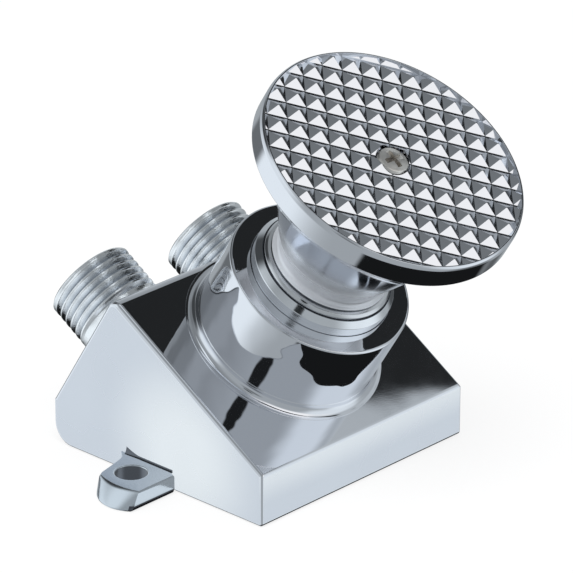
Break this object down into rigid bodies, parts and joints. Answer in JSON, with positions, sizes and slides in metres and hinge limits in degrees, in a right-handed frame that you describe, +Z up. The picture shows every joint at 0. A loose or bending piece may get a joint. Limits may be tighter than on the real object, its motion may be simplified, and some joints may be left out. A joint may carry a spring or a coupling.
{
  "type": "foot pedal tap valve",
  "caption": "Chrome wedge-shaped floor valve: a sprung knurled mushroom pedal on a sloping boss opens the water between threaded rear ports; side ears take floor screws.",
  "frame": {"origin": "on the floor plane, midway between the two ear holes", "axes": "+Z up from the floor, -Y towards the front face and the foot, +X to the user's right as they face the pedal; the pedal axis leans 32 degrees from +Z towards -Y"},
  "size_m": [0.0968, 0.1056, 0.0947],
  "materials": {
    "chrome_casting": "polished chrome plate",
    "chrome_tread": "polished chrome plate",
    "turned_chrome": "turned and plated, fine lathe rings",
    "turned_steel": "turned stainless steel",
    "screw_nickel": "nickel-plated steel",
    "spring_steel": "drawn spring wire",
    "brass": "machined brass",
    "rubber": "black rubber",
    "fibre": "red fibre sealing washer",
    "slide_plastic": "natural slide-ring plastic"
  },
  "bodies": {
    "housing": {"valve_body": "chrome_casting", "seat_gasket": "fibre", "seat_ring": "brass", "guide_gasket": "fibre", "guide_bush": "brass", "stem_orings": "rubber", "spring_washer": "turned_steel", "return_spring": "spring_steel", "bonnet": "turned_chrome", "bonnet_oring": "rubber"},
    "spring_carrier": {"spring_cap": "turned_steel"},
    "pedal_group": {"plunger": "turned_steel", "plunger_ring": "slide_plastic", "plunger_oring": "rubber", "stem": "turned_steel", "poppet_washer": "rubber", "poppet_disc": "brass", "poppet_nut": "turned_steel", "pedal": "chrome_tread", "pedal_lock_washer": "turned_steel", "pedal_screw": "screw_nickel"}
  },
  "joints": [
    {"name": "pedal_press", "type": "slide", "parent": "housing", "child": "spring_carrier", "axis": [0, 0.5299, -0.848], "range_m": [0, 0.006], "stiffness_N_per_m": 2000, "springref_m": -0.012, "deforming": ["return_spring"]},
    {"name": "pedal_turn", "type": "hinge", "parent": "spring_carrier", "child": "pedal_group", "pos_m": [0, -0.02223, 0.0476], "axis": [0, -0.5299, 0.848], "continuous": true}
  ]
}
